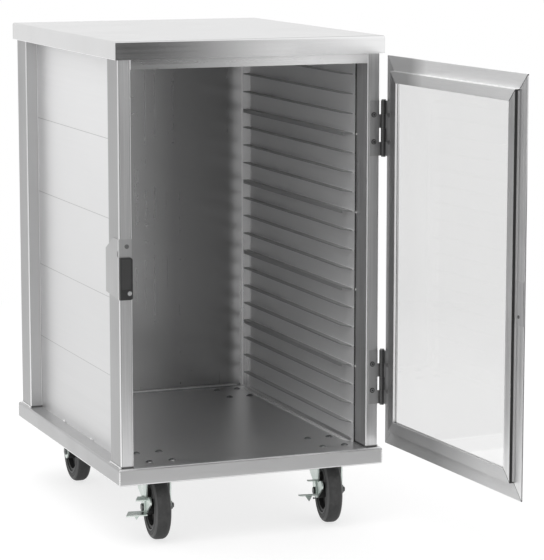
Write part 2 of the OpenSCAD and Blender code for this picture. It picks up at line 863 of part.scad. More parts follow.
module front_left_fork() { fork(0, true); }
module front_right_fork() { fork(1, true); }
module rear_left_fork() { fork(2, false); }
module rear_right_fork() { fork(3, false); }

// An axle bolt; pack is the thickness of a brake lever under its head, or 0
module axle(i, pack) {
    left = leg_out_x + (pack > 0 ? pack + 2 * side_gap : 0);
    color(dark_steel) on_swivel(i) translate([0, -caster_lead, axle_z]) rotate([0, 90, 0]) {
        translate([0, 0, -left]) cylinder(h = left + leg_out_x + axle_nut_h + axle_tail, r = axle_r);
        translate([0, 0, -left - head_h]) cylinder(h = head_h, r = head_r, $fn = 6);
        translate([0, 0, leg_out_x]) cylinder(h = axle_nut_h, r = axle_nut_r, $fn = 6);
    }
}

module front_left_axle() { axle(0, brake_t); }
module front_right_axle() { axle(1, brake_t); }
module rear_left_axle() { axle(2, 0); }
module rear_right_axle() { axle(3, 0); }

// Stands a wheel's section, drawn round Z, on the axle
module on_axle(i) {
    on_swivel(i) translate([0, -caster_lead, axle_z]) rotate([0, 90, 0]) children();
}

// The hub is turned: a boss, a thin web and a rim for the tyre
module hub(i) {
    boss_half = leg_gap_x - side_gap;
    bore_r = axle_r + run_clearance;
    color(hub_grey) on_axle(i) rotate_extrude($fn = 96) {
        translate([bore_r, -boss_half]) square([hub_boss_r - bore_r, 2 * boss_half]);
        translate([bore_r, -hub_web_t / 2]) square([hub_r - bore_r, hub_web_t]);
        translate([hub_r - hub_rim_t, -hub_rim_w / 2]) square([hub_rim_t, hub_rim_w]);
    }
}

module front_left_hub() { hub(0); }
module front_right_hub() { hub(1); }
module rear_left_hub() { hub(2); }
module rear_right_hub() { hub(3); }

// The tyre's tread has round shoulders, and its sides lie a little in at the hub
module tyre(i) {
    outer_r = wheel_d / 2;
    half = tyre_w / 2;
    shoulder = tyre_shoulder_r;
    color(tyre_grey) on_axle(i) rotate_extrude($fn = 96) {
        translate([hub_r, -half + tyre_side_in])
            square([outer_r - shoulder - hub_r, tyre_w - 2 * tyre_side_in]);
        translate([hub_r + tyre_bead_w, -half])
            square([outer_r - shoulder - hub_r - tyre_bead_w, tyre_w]);
        translate([hub_r, -half + shoulder]) square([outer_r - hub_r, tyre_w - 2 * shoulder]);
        for (y = [-half + shoulder, half - shoulder]) translate([outer_r - shoulder, y]) intersection() {
            circle(shoulder);
            translate([0, -shoulder]) square([shoulder, 2 * shoulder]);
        }
    }
}

module front_left_tyre() { tyre(0); }
module front_right_tyre() { tyre(1); }
module rear_left_tyre() { tyre(2); }
module rear_right_tyre() { tyre(3); }

// A plate that stands out from the lever and widens towards its front
module lever_plate(out, flare, len) {
    linear_extrude(brake_t) polygon([
        [0, brake_rear],
        [-out, brake_rear],
        [-out - flare, brake_rear - len],
        [0, brake_rear - len]
    ]);
}

// The lever turns on the axle bolt, outside the left leg: a strip with a release tab and a foot plate
module brake_lever(i, tilt) {
    in_x = -leg_out_x - side_gap;
    out_x = in_x - brake_t;
    rib_x = out_x - brake_rib_w - brake_rib_out;
    color(zinc) on_swivel(i) translate([0, -caster_lead, axle_z]) rotate([tilt, 0, 0]) {
        difference() {
            union() {
                translate([out_x, -brake_strip_d / 2, brake_foot_z - brake_t])
                    cube([brake_t, brake_strip_d, brake_tab_z - brake_foot_z + brake_t]);
                translate([out_x, 0, 0]) rotate([0, 90, 0]) cylinder(h = brake_t, r = brake_strip_d / 2);
            }
            translate([out_x - cut, 0, 0]) rotate([0, 90, 0])
                cylinder(h = brake_t + 2 * cut, r = axle_r + run_clearance);
        }
        translate([in_x, 0, brake_tab_z - brake_t]) lever_plate(brake_tab_w, brake_tab_flare, brake_tab_l);
        translate([in_x, 0, brake_foot_z - brake_t]) lever_plate(brake_foot_w, brake_foot_flare, brake_foot_l);
        translate([rib_x, -brake_strip_d / 2 + brake_t, brake_foot_z - brake_t])
            rotate([90, 0, 0]) linear_extrude(brake_t)
                polygon([[0, 0], [brake_rib_w, 0], [brake_rib_w / 2, -brake_rib_h]]);
    }
}

module left_brake_lever() { brake_lever(0, brake_tilt_left); }
module right_brake_lever() { brake_lever(1, brake_tilt_right); }

deck_pan();
cover_pan();
post_front_left();
post_front_right();
post_rear_left();
post_rear_right();
header_front();
header_rear();
header_left();
header_right();
back_sheet();
left_panel_1();
left_panel_2();
left_panel_3();
left_panel_4();
left_panel_5();
right_panel_1();
right_panel_2();
right_panel_3();
right_panel_4();
right_panel_5();
catch_bracket();
magnet_block();
frame_screws();
upper_hinge_frame_leaf();
lower_hinge_frame_leaf();
hinge_pins();
door_top_rail();
door_bottom_rail();
door_hinge_stile();
door_free_stile();
door_window();
upper_hinge_door_leaf();
lower_hinge_door_leaf();
strike_plate();
door_rivets();
caster_bolts();
swivel_balls();
front_left_caster_plate();
front_left_fork();
front_left_axle();
front_left_hub();
front_left_tyre();
front_right_caster_plate();
front_right_fork();
front_right_axle();
front_right_hub();
front_right_tyre();
rear_left_caster_plate();
rear_left_fork();
rear_left_axle();
rear_left_hub();
rear_left_tyre();
rear_right_caster_plate();
rear_right_fork();
rear_right_axle();
rear_right_hub();
rear_right_tyre();
left_brake_lever();
right_brake_lever();
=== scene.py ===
import json
import math
import random

import bmesh
import bpy
from mathutils import Matrix, Vector, noise


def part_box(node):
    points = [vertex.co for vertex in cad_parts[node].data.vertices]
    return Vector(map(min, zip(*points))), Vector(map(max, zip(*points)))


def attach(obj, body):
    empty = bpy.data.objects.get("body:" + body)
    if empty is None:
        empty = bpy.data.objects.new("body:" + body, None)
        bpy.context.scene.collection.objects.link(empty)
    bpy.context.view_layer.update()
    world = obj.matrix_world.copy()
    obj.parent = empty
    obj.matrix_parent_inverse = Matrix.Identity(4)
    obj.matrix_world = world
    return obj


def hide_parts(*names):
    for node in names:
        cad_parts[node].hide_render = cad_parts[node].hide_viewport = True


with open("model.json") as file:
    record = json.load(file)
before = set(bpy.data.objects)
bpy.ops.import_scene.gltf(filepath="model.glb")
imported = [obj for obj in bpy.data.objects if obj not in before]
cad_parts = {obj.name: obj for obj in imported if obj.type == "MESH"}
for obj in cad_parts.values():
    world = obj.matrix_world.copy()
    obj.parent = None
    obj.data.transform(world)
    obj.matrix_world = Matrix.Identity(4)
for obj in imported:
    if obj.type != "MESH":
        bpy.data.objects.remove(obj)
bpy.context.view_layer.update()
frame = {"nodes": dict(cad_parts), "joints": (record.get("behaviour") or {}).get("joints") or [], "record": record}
nodes = frame["nodes"]
scene = bpy.context.scene

MM = 0.001
CORNERS = ("front_left", "front_right", "rear_left", "rear_right")

# Ways on the cabinet: to its right, to its rear and up
ACROSS, DEEP, UP = (1.0, 0.0, 0.0), (0.0, 1.0, 0.0), (0.0, 0.0, 1.0)

# Places on the cabinet, in millimetres, as in the part's source
DECK_X, DECK_Y, DECK_Z, DECK_FOOT_Z = 270.0, 342.5, 156.0, 124.0
COVER_FOOT_Z = 924.1
POST_OUT_X, POST_IN_X, POST_DEPTH = 263.5, 238.1, 62.0
FRONT_Y, REAR_Y = -333.0, 333.0
PANEL_IN_X, PANEL_FRONT_Y = 235.6, -281.0
ROW_SEAMS = (308.4, 460.8, 613.2, 765.6)
DOOR_FOOT_Z, DOOR_TOP_Z = 165.0, 920.5

# The hinges' line, how far the door's free edge stands from it, and how far its outer face lies in front of it
HINGE = Vector((270.0, -338.0, 0.0))
DOOR_REACH, DOOR_FACE = 533.5, 7.0


# Node wiring

class Wiring:
    """Adds nodes to one node tree and joins them up. A socket is given a plain value or another node's output."""

    def __init__(self, tree):
        self.tree = tree
        tree.nodes.clear()

    def add(self, kind, sockets=None, **settings):
        node = self.tree.nodes.new("ShaderNode" + kind)
        for key, value in settings.items():
            setattr(node, key, value)
        for key, value in (sockets or {}).items():
            self.feed(node.inputs[key], value)
        return node

    def feed(self, socket, value):
        if isinstance(value, bpy.types.NodeSocket):
            self.tree.links.new(value, socket)
        elif socket.type == "RGBA" and len(value) == 3:
            socket.default_value = (*value, 1.0)
        else:
            socket.default_value = value

    def math(self, operation, a, b=0.0):
        return self.add("Math", {0: a, 1: b}, operation=operation).outputs[0]

    def remap(self, value, low, high, to_low=0.0, to_high=1.0):
        node = self.add("MapRange", {0: value, 1: low, 2: high, 3: to_low, 4: to_high}, clamp=True)
        return node.outputs[0]

    def blend(self, share, a, b, how="MIX"):
        node = self.add("Mix", {0: share, 6: a, 7: b}, data_type="RGBA", blend_type=how)
        return node.outputs[2]

    def stretch(self, vector, by):
        return self.add("VectorMath", {0: vector, 1: by}, operation="MULTIPLY").outputs[0]

    def noise(self, vector, scale, detail=2.0, roughness=0.5, distortion=0.0):
        node = self.add("TexNoise", {"Vector": vector, "Scale": scale, "Detail": detail,
                                     "Roughness": roughness, "Distortion": distortion})
        return node.outputs[0]


def group(name, takes, gives, build):
    """A shader node group. build(wiring, inputs) gives its outputs by name."""
    tree = bpy.data.node_groups.new(name, "ShaderNodeTree")
    w = Wiring(tree)
    for label, kind, start in takes:
        socket = tree.interface.new_socket(name=label, in_out="INPUT", socket_type="NodeSocket" + kind)
        if start is not None:
            socket.default_value = start
    for label in gives:
        tree.interface.new_socket(name=label, in_out="OUTPUT", socket_type="NodeSocketFloat")
    source, sink = tree.nodes.new("NodeGroupInput"), tree.nodes.new("NodeGroupOutput")
    made = build(w, source.outputs)
    for label in gives:
        tree.links.new(made[label], sink.inputs[label])
    return tree


def grain_lines(w, given):
    """Fine lines and broad bands, drawn out along the grain by a vector that is large across it."""
    drawn = w.stretch(given["Vector"], given["Stretch"])
    lines = w.noise(drawn, 1.0, 2.0, 0.55)
    broad = w.add("VectorMath", {0: drawn, "Scale": 0.17}, operation="SCALE").outputs[0]
    bands = w.noise(broad, 1.0, 3.0, 0.55)
    return {"Lines": lines, "Bands": bands}


def rub_marks(w, given):
    """Wiped smudges, and sparse hairline scratches that run two ways."""
    cloud = w.noise(given["Vector"], given["Scale"], 5.0, 0.6, 0.6)
    smudges = w.remap(cloud, 0.46, 0.74)
    one = w.noise(w.stretch(given["Vector"], (620.0, 36.0, 40.0)), 1.0, 1.0)
    two = w.noise(w.stretch(given["Vector"], (30.0, 640.0, 60.0)), 1.0, 1.0)
    hairlines = w.math("MAXIMUM", w.remap(one, 0.70, 0.80), w.remap(two, 0.71, 0.81))
    patches = w.remap(w.noise(given["Vector"], 11.0, 2.0), 0.5, 0.62)
    return {"Smudges": smudges, "Scratches": w.math("MULTIPLY", hairlines, patches)}


def plating_bloom(w, given):
    """Cloudy tint of a passivated plating, with fine crystal flecks."""
    cloud = w.noise(given["Vector"], 55.0, 4.0, 0.6)
    cells = w.add("TexVoronoi", {"Vector": given["Vector"], "Scale": 420.0}, feature="F1")
    return {"Cloud": w.remap(cloud, 0.35, 0.65), "Flecks": cells.outputs["Distance"]}


def straight_band(w, given):
    """A band across an axis: 1 within its half width, fading out beyond."""
    along = w.add("VectorMath", {0: given["Vector"], 1: given["Axis"]}, operation="DOT_PRODUCT").outputs["Value"]
    off = w.math("ABSOLUTE", w.math("SUBTRACT", along, given["At"]))
    return {"Mask": w.remap(off, given["Half Width"], w.math("ADD", given["Half Width"], given["Fade"]), 1.0, 0.0)}


# How far the edge of a round spot fades, in millimetres
SPOT_FADE = 0.6


def round_spot(w, given):
    """A round spot about a line through Centre: Spread is 1 across the line and 0 along it."""
    apart = w.add("VectorMath", {0: given["Vector"], 1: given["Centre"]}, operation="SUBTRACT").outputs[0]
    off = w.add("VectorMath", {0: w.stretch(apart, given["Spread"])}, operation="LENGTH").outputs["Value"]
    return {"Mask": w.remap(off, given["Radius"], w.math("ADD", given["Radius"], SPOT_FADE * MM), 1.0, 0.0)}


def mould_grain(w, given):
    """Fine pebbling of a moulded surface, and the dust that it picks up."""
    pebbles = w.noise(given["Vector"], given["Scale"], 3.0, 0.6)
    dust = w.noise(given["Vector"], 34.0, 4.0, 0.65, 0.4)
    return {"Pebbles": pebbles, "Dust": w.remap(dust, 0.42, 0.7)}


BRUSHED = group("brushed_grain", [("Vector", "Vector", None), ("Stretch", "Vector", (900.0, 900.0, 9.0))],
                ["Lines", "Bands"], grain_lines)
MARKS = group("handling_marks", [("Vector", "Vector", None), ("Scale", "Float", 7.0)],
              ["Smudges", "Scratches"], rub_marks)
PLATING = group("plating_bloom", [("Vector", "Vector", None)], ["Cloud", "Flecks"], plating_bloom)
BAND = group("straight_band", [("Vector", "Vector", None), ("Axis", "Vector", (0.0, 0.0, 1.0)), ("At", "Float", 0.0),
                               ("Half Width", "Float", 0.001), ("Fade", "Float", 0.0005)], ["Mask"], straight_band)
SPOT = group("round_spot", [("Vector", "Vector", None), ("Centre", "Vector", (0.0, 0.0, 0.0)),
                            ("Spread", "Vector", (1.0, 0.0, 1.0)), ("Radius", "Float", 0.002)], ["Mask"], round_spot)
MOULDED = group("moulded_grain", [("Vector", "Vector", None), ("Scale", "Float", 1500.0)],
                ["Pebbles", "Dust"], mould_grain)


# Materials

def start_material(name):
    """A material with its wiring, its shader and the coordinates that stay with the piece."""
    material = bpy.data.materials.new(name)
    material.use_nodes = True
    w = Wiring(material.node_tree)
    shader = w.add("BsdfPrincipled")
    sink = w.add("OutputMaterial")
    w.tree.links.new(shader.outputs[0], sink.inputs["Surface"])
    return material, w, shader, w.add("TexCoord").outputs["Object"]


def place(w, tree, sockets):
    """A node group placed in a material, with its own values."""
    node = w.add("Group", node_tree=tree)
    for key, value in sockets.items():
        w.feed(node.inputs[key], value)
    return node.outputs


def tones(colour, spread):
    """The darker and the lighter tone about a colour."""
    return [tuple(min(1.0, c * s) for c in colour) for s in (1.0 - spread, 1.0 + spread)]


def lay_grain(w, shader, along):
    """Turns the shader's stretched highlight across the brushing."""
    turned = w.add("VectorTransform", {0: along}, vector_type="VECTOR", convert_from="OBJECT",
                   convert_to="WORLD")
    w.feed(shader.inputs["Tangent"], turned.outputs[0])
    shader.inputs["Anisotropic Rotation"].default_value = 0.25


# How deep behind a folded pan's front face its brushing still runs as on the face, in millimetres
FOLD_DEPTH = 0.6


def unfold(w, at, front):
    """Where a point of a folded pan lay in the flat sheet, so that its brushing runs on over the folds."""
    axes = w.add("SeparateXYZ", {0: at}).outputs
    on_front = w.math("GREATER_THAN", w.math("ABSOLUTE", axes[1]), (front - FOLD_DEPTH) * MM)
    across = w.add("Mix", {0: on_front, 2: axes[1], 3: axes[2]}, data_type="FLOAT").outputs[0]
    return w.add("CombineXYZ", {0: axes[0], 1: across}).outputs[0]


# The grain's pace along itself, as a share of its pace across, and the depth of its lines in metres
GRAIN_DRAWN, GRAIN_DEPTH = 0.012, 0.0002


def aluminium(name, colour, along, rough=0.34, pull=0.6, streaks=0.10, fine=900.0, smudge=0.06, accents=(),
              fold=None, metal=1.0, relief=0.06, sway=0.04):
    """Mill-finish or brushed aluminium; along is the way that its grain runs. An accent is a mask and its colour.

    fold is the front of a pan that is folded from one sheet, relief is how strongly the grain stands out, and
    sway is how far the roughness goes up and down with the grain.
    """
    material, w, shader, at = start_material(name)
    stretch = tuple(fine * (GRAIN_DRAWN if abs(a) > 0.5 else 1.0) for a in along)
    grain = place(w, BRUSHED, {"Vector": unfold(w, at, fold) if fold else at, "Stretch": stretch})
    marks = place(w, MARKS, {"Vector": at, "Scale": 6.0})
    share = w.math("ADD", w.math("MULTIPLY", grain["Lines"], 0.4), w.math("MULTIPLY", grain["Bands"], 0.6))
    dark, light = tones(colour, streaks)
    colours = w.blend(w.remap(share, 0.34, 0.66), dark, light)
    smudged_and_painted = w.blend(w.math("MULTIPLY", marks["Smudges"], smudge * 2.0), colours, tones(colour, 0.3)[0])
    # Accents, mostly painted light and painted shade, and dark joints
    for mask, accent in accents:
        smudged_and_painted = w.blend(mask(w, at), smudged_and_painted, accent)
    w.feed(shader.inputs["Base Color"], smudged_and_painted)
    spread = w.remap(grain["Bands"], 0.3, 0.7, rough - sway, rough + sway)
    wiped = w.math("ADD", spread, w.math("MULTIPLY", marks["Smudges"], smudge))
    w.feed(shader.inputs["Roughness"], w.math("SUBTRACT", wiped, w.math("MULTIPLY", marks["Scratches"], 0.02)))
    height = w.math("SUBTRACT", grain["Lines"], w.math("MULTIPLY", marks["Scratches"], 0.15))
    bump = w.add("Bump", {"Strength": relief, "Distance": GRAIN_DEPTH, "Height": height})
    w.feed(shader.inputs["Normal"], bump.outputs[0])
    shader.inputs["Metallic"].default_value = metal
    shader.inputs["Anisotropic"].default_value = pull
    lay_grain(w, shader, along)
    return material


def band(axis, at, half_width, fade=0.5):
    """A straight band as an accent's mask, in millimetres."""
    return lambda w, here: place(w, BAND, {"Vector": here, "Axis": axis, "At": at * MM, "Half Width": half_width * MM,
                                           "Fade": fade * MM})["Mask"]


def spot(centre, spread, radius):
    """A round spot as an accent's mask, in millimetres."""
    return lambda w, here: place(w, SPOT, {"Vector": here, "Centre": Vector(centre) * MM, "Spread": spread,
                                           "Radius": radius * MM})["Mask"]


def post_edge(radius):
    """The long edges of the four corner posts, as an accent's mask: a round spot about each."""
    def mask(w, here):
        axes = w.add("SeparateXYZ", {0: here}).outputs
        in_x = w.math("ABSOLUTE", w.math("SUBTRACT", w.math("ABSOLUTE", axes[0]), (POST_OUT_X + POST_IN_X) / 2 * MM))
        in_y = w.math("ABSOLUTE", w.math("SUBTRACT", w.math("ABSOLUTE", axes[1]), (REAR_Y - POST_DEPTH / 2) * MM))
        folded = w.add("CombineXYZ", {0: in_x, 1: in_y}).outputs[0]
        centre = ((POST_OUT_X - POST_IN_X) / 2, POST_DEPTH / 2, 0.0)
        return place(w, SPOT, {"Vector": folded, "Centre": Vector(centre) * MM, "Spread": (1.0, 1.0, 0.0),
                               "Radius": radius * MM})["Mask"]
    return mask


def row_head(w, here):
    """As an accent's mask: how high a point lies in its own row of side panels: 0 at the row's foot, 1 at its head."""
    rise = w.math("SUBTRACT", w.add("SeparateXYZ", {0: here}).outputs[2], ROW_SEAMS[0] * MM)
    return w.math("FRACT", w.math("DIVIDE", rise, (ROW_SEAMS[1] - ROW_SEAMS[0]) * MM))


def both(one, two):
    """The part of one mask that another covers too."""
    return lambda w, here: w.math("MULTIPLY", one(w, here), two(w, here))


def plated(name, colour, tint, rough=0.3):
    """Plated steel with a cloudy tint."""
    material, w, shader, at = start_material(name)
    bloom = place(w, PLATING, {"Vector": at})
    grain = place(w, BRUSHED, {"Vector": at, "Stretch": (1300.0, 1300.0, 60.0)})
    clouded = w.blend(bloom["Cloud"], colour, tint)
    dark, light = (0.86,) * 3, (1.0,) * 3
    w.feed(shader.inputs["Base Color"], w.blend(1.0, clouded, w.blend(grain["Lines"], dark, light), "MULTIPLY"))
    w.feed(shader.inputs["Roughness"], w.remap(bloom["Cloud"], 0.0, 1.0, rough - 0.04, rough + 0.08))
    height = w.math("ADD", grain["Lines"], w.math("MULTIPLY", bloom["Flecks"], 0.5))
    bump = w.add("Bump", {"Strength": 0.15, "Distance": 0.00015, "Height": height})
    w.feed(shader.inputs["Normal"], bump.outputs[0])
    shader.inputs["Metallic"].default_value = 1.0
    shader.inputs["Anisotropic"].default_value = 0.3
    lay_grain(w, shader, (0.05, 0.05, 1.0))
    return material


def moulded(name, colour, dust_colour, rough, dust=0.25, pebbles=1500.0, bump_height=0.0002):
    """Moulded plastic or rubber with a fine grain and a film of dust."""
    material, w, shader, at = start_material(name)
    grain = place(w, MOULDED, {"Vector": at, "Scale": pebbles})
    filmed = w.blend(w.math("MULTIPLY", grain["Dust"], dust), colour, dust_colour)
    dark, light = (0.8,) * 3, (1.0,) * 3
    w.feed(shader.inputs["Base Color"], w.blend(1.0, filmed, w.blend(grain["Pebbles"], dark, light), "MULTIPLY"))
    w.feed(shader.inputs["Roughness"], w.remap(grain["Dust"], 0.0, 1.0, rough, min(1.0, rough + 0.15)))
    bump = w.add("Bump", {"Strength": 0.3, "Distance": bump_height, "Height": grain["Pebbles"]})
    w.feed(shader.inputs["Normal"], bump.outputs[0])
    return material


def clear_sheet(name):
    """Clear polycarbonate with faint wiped smudges."""
    material, w, shader, at = start_material(name)
    marks = place(w, MARKS, {"Vector": at, "Scale": 5.0})
    w.feed(shader.inputs["Base Color"], w.blend(marks["Smudges"], (0.895, 0.895, 0.893), (0.875, 0.875, 0.875)))
    w.feed(shader.inputs["Roughness"], w.remap(marks["Smudges"], 0.0, 1.0, 0.02, 0.07))
    bump = w.add("Bump", {"Strength": 0.05, "Distance": 0.0001, "Height": marks["Scratches"]})
    w.feed(shader.inputs["Normal"], bump.outputs[0])
    shader.inputs["Transmission Weight"].default_value = 1.0
    shader.inputs["IOR"].default_value = 1.49
    return material


# The ways that the brushing runs, each a little off its axis so that no two faces match
GRAIN_X = (1.0, 0.0, 0.03)
GRAIN_Y = (0.03, 1.0, 0.03)
GRAIN_Z = (0.04, 0.06, 1.0)

# The open door at rest: the way from its hinge to its free side, and the way that its inner face looks
DOOR_OPEN = math.radians(93.0)
DOOR_OUT = (-math.cos(DOOR_OPEN), -math.sin(DOOR_OPEN), 0.0)
DOOR_IN = (-math.sin(DOOR_OPEN), math.cos(DOOR_OPEN), 0.0)


def grey(value):
    """A grey of the metal, a trace cooler than neutral."""
    return (value, value, value * 1.004)


def from_free_edge(distance):
    """Where a plane that far in from the door's free edge lies along DOOR_OUT."""
    return HINGE.dot(Vector(DOOR_OUT)) + DOOR_REACH - distance


def from_outer_face(distance):
    """Where a plane that far in from the door's outer face lies along DOOR_IN."""
    return HINGE.dot(Vector(DOOR_IN)) - DOOR_FACE + distance


# Tones laid on the metal, in millimetres: painted highlights and painted shade on faces, folds, edges and gaps, and
# dark joints
# Painted shade on the free stile's step side face.
STEP_SIDE_SHADE = both(band(DOOR_OUT, from_free_edge(28.0), 0.5, 0.2), band(DOOR_IN, from_outer_face(10.5), 4.4, 0.5))
# Painted highlight along the window's edge on the stile.
WINDOW_EDGE_HIGHLIGHT = band(DOOR_OUT, from_free_edge(477.0), 0.5, 0.4)


def mitre(z, up):
    """A thin line along the mitre at the door's free side, at the height of the corner's tip."""
    axis = Vector((DOOR_OUT[0], DOOR_OUT[1], -up)).normalized()
    tip = HINGE + Vector(DOOR_OUT) * DOOR_REACH
    line = band(axis, axis.dot(Vector((tip.x, tip.y, z))), 1.5, 0.5)
    return both(line, band(DOOR_OUT, from_free_edge(20.0), 34.0, 1.0))


MITRES = (mitre(DOOR_TOP_Z, 1.0), mitre(DOOR_FOOT_Z, -1.0))
KNUCKLES = spot(HINGE, (1.0, 1.0, 0.0), 5.9)
# Painted highlights along the cover's and the deck's lower lips.
COVER_LIP_HIGHLIGHT = band(UP, COVER_FOOT_Z + 0.2, 0.5, 0.4)
DECK_LIP_HIGHLIGHT = band(UP, DECK_FOOT_Z + 1.4, 0.5, 0.4)
# Painted light on the deck's top face, lightest on its floor inside the walls.
DECK_TOP_LIGHT = band(UP, DECK_Z, 0.5, 0.3)
DECK_FLOOR_LIGHT = both(DECK_TOP_LIGHT, band(ACROSS, 0.0, 238.0, 1.0))
# Painted highlight along the deck's front fold.
DECK_FOLD_HIGHLIGHT = spot((0.0, -DECK_Y, DECK_Z), (0.0, 1.0, 1.0), 2.6)
# Painted shade at the posts' feet.
POST_FOOT_SHADE = band(UP, DECK_Z + 0.5, 1.6, 2.2)
# Painted light on the back sheet's flanges at the rear corners.
CORNER_FLANGE_LIGHT = band(ACROSS, PANEL_IN_X + 0.8, 1.7, 0.4)
# Painted shadow on the right panels' front ends, in the gap by the post.
PANEL_END_SHADOW = band(DEEP, PANEL_FRONT_Y, 0.7, 0.3)
SEAMS = [(band(UP, z, 0.4, 0.4), grey(0.50)) for z in ROW_SEAMS]
WALL_OUTSIDE = band(ACROSS, POST_IN_X, 0.6, 0.2)
# Painted shade over the ledges on the side panels' inner face.
LEDGE_SHADE = both(band(ACROSS, 0.0, 232.6, 1.2), band(UP, 540.0, 365.0, 2.0))
PANEL_FOOT = band(UP, 100.0, 120.0, 800.0)
# Painted light on the front faces of the cover and the deck.
FRONT_FACE_LIGHT = band(DEEP, -DECK_Y, 1.0, 0.6)
# Painted shade on the posts' left faces.
LEFT_SIDE_SHADE = band(ACROSS, -POST_OUT_X, 1.0, 0.5)
# Painted shade on the rear left post's front face.
REAR_POST_FACE_SHADE = both(band(DEEP, REAR_Y - POST_DEPTH, 0.8, 0.4), band(ACROSS, -250.0, 16.0, 1.0))
BACK_INSIDE = band(DEEP, 300.0, 32.2, 0.3)
BACK_SHADE = both(BACK_INSIDE, both(band(ACROSS, 240.0, 160.0, 110.0),
                                    band(ACROSS, -60.0, 262.0, 16.0)))
WALL_INSIDE = band(ACROSS, 0.0, PANEL_IN_X + 1.0, 0.3)
# Painted highlight at the catch bracket's fold.
CATCH_FOLD_HIGHLIGHT = spot((-265.0, -334.5, 0.0), (1.0, 1.0, 0.0), 1.5)
MAGNET_SCREW = spot((-245.0, 0.0, 490.0), (1.0, 0.0, 1.0), 5.0)
# Painted shade on the door's hinge side and along its foot there.
HINGE_SIDE_SHADE = band(DOOR_OUT, from_free_edge(520.0), 90.0, 60.0)
HINGE_FOOT_SHADE = both(band(DOOR_OUT, from_free_edge(520.0), 200.0, 200.0), band(UP, DOOR_FOOT_Z, 60.0, 10.0))

# The CAD nodes' finishes, by material slot
FINISHES = {
    "cover_aluminium": aluminium("cover_sheet", grey(0.70), GRAIN_X, 0.22, 0.5, 0.02, smudge=0.03, fold=DECK_Y,
                                 accents=[(FRONT_FACE_LIGHT, grey(0.90)), (COVER_LIP_HIGHLIGHT, grey(0.95))]),
    "deck_aluminium": aluminium("deck_sheet", grey(0.52), GRAIN_X, 0.33, 0.6, 0.04, smudge=0.07, fold=DECK_Y,
                                accents=[(DECK_TOP_LIGHT, grey(0.68)), (DECK_FLOOR_LIGHT, grey(1.0)), (FRONT_FACE_LIGHT, grey(0.56)),
                                         (DECK_LIP_HIGHLIGHT, grey(0.95)), (DECK_FOLD_HIGHLIGHT, grey(0.98))]),
    "post_aluminium": aluminium("post_tube", grey(0.73), GRAIN_Z, 0.38, 0.75, 0.10,
                                accents=[(LEFT_SIDE_SHADE, grey(0.48)), (REAR_POST_FACE_SHADE, grey(0.60)),
                                         # A painted shade line and a painted highlight along each post's long edges.
                                         (post_edge(3.0), grey(0.50)), (post_edge(1.7), grey(0.98)),
                                         (POST_FOOT_SHADE, grey(0.16))]),
    "rail_aluminium": aluminium("rail_tube", grey(0.97), GRAIN_X, 0.28, 0.6, 0.03),
    "back_aluminium": aluminium("back_sheet", grey(0.51), GRAIN_Z, 0.28, 0.3, 0.015, 700.0, 0.03,
                                relief=0.002, sway=0.01,
                                accents=[(BACK_SHADE, grey(0.33)), (CORNER_FLANGE_LIGHT, grey(0.80))]),
    "left_panel_aluminium": aluminium("left_panel", grey(0.94), GRAIN_Y, 0.38, 0.5, 0.02, smudge=0.02, metal=0.7,
                                      accents=[(PANEL_FOOT, grey(0.74))] + SEAMS),
    # The right panels' inner face painted lighter than their outer face, with painted shade towards each row's head.
    "right_panel_aluminium": aluminium("right_panel", grey(0.80), GRAIN_Y, 0.36, 0.5, 0.05, metal=0.3,
                                       accents=[(WALL_INSIDE, grey(1.0)), (both(WALL_INSIDE, row_head), grey(0.92)),
                                                (LEDGE_SHADE, grey(0.50)), (PANEL_END_SHADOW, grey(0.05))]
                                       + [(both(seam, WALL_OUTSIDE), tone) for seam, tone in SEAMS]),
    "door_rail_aluminium": aluminium("door_rail", grey(1.0), DOOR_OUT, 0.42, 0.85, 0.06, metal=0.35,
                                     accents=[(HINGE_SIDE_SHADE, grey(0.54)), (HINGE_FOOT_SHADE, grey(0.54))]),
    "door_stile_aluminium": aluminium("door_stile", grey(0.95), GRAIN_Z, 0.34, 0.75, 0.07,
                                      accents=[(HINGE_SIDE_SHADE, grey(0.48)), (WINDOW_EDGE_HIGHLIGHT, grey(1.0)),
                                               (STEP_SIDE_SHADE, grey(0.10))]
                                      + [(line, grey(0.12)) for line in MITRES]),
    # Painted shade on the catch bracket's outer side face, and a painted highlight at its fold.
    "catch_zinc": aluminium("catch_plate", grey(0.70), GRAIN_Z, 0.34, 0.5, 0.05,
                            accents=[(band(ACROSS, -265.0, 0.9, 0.4), grey(0.50)), (CATCH_FOLD_HIGHLIGHT, grey(0.98))]),
    "magnet_plastic": moulded("magnet_case", grey(0.045), grey(0.09), 0.45, 0.3, 1800.0, 0.0001),
    "screw_steel": aluminium("screw_plating", grey(0.34), DEEP, 0.32, 0.0, 0.06,
                             accents=[(MAGNET_SCREW, grey(0.9))]),
    "hinge_steel": aluminium("hinge_plating", grey(0.56), GRAIN_Z, 0.36, 0.6, 0.06, accents=[(KNUCKLES, grey(0.11))]),
    "pin_steel": plated("pin_steel", grey(0.30), (0.26, 0.27, 0.27), 0.30),
    "window_clear": clear_sheet("window_sheet"),
    "strike_steel": aluminium("strike_plate", grey(0.88), GRAIN_Z, 0.34, 0.7, 0.05),
    "bolt_steel": plated("bolt_plating", grey(0.50), (0.46, 0.47, 0.47), 0.26),
    "ball_steel": plated("ball_steel", grey(0.60), (0.57, 0.58, 0.58), 0.2),
    "caster_zinc": plated("caster_zinc", (0.74, 0.80, 0.76), (0.64, 0.72, 0.68), 0.30),
    "axle_steel": plated("axle_black", grey(0.16), (0.12, 0.13, 0.13), 0.35),
    "hub_plastic": moulded("hub_moulding", grey(0.035), grey(0.10), 0.5, 0.3),
    "tyre_rubber": moulded("tyre_rubber", grey(0.07), grey(0.16), 0.62, 0.55, 900.0, 0.0003),
}

# The finishes of the added pieces
WELD = aluminium("weld_metal", grey(0.96), (0.3, 0.3, 0.9), 0.24, 0.0, 0.12, 300.0)
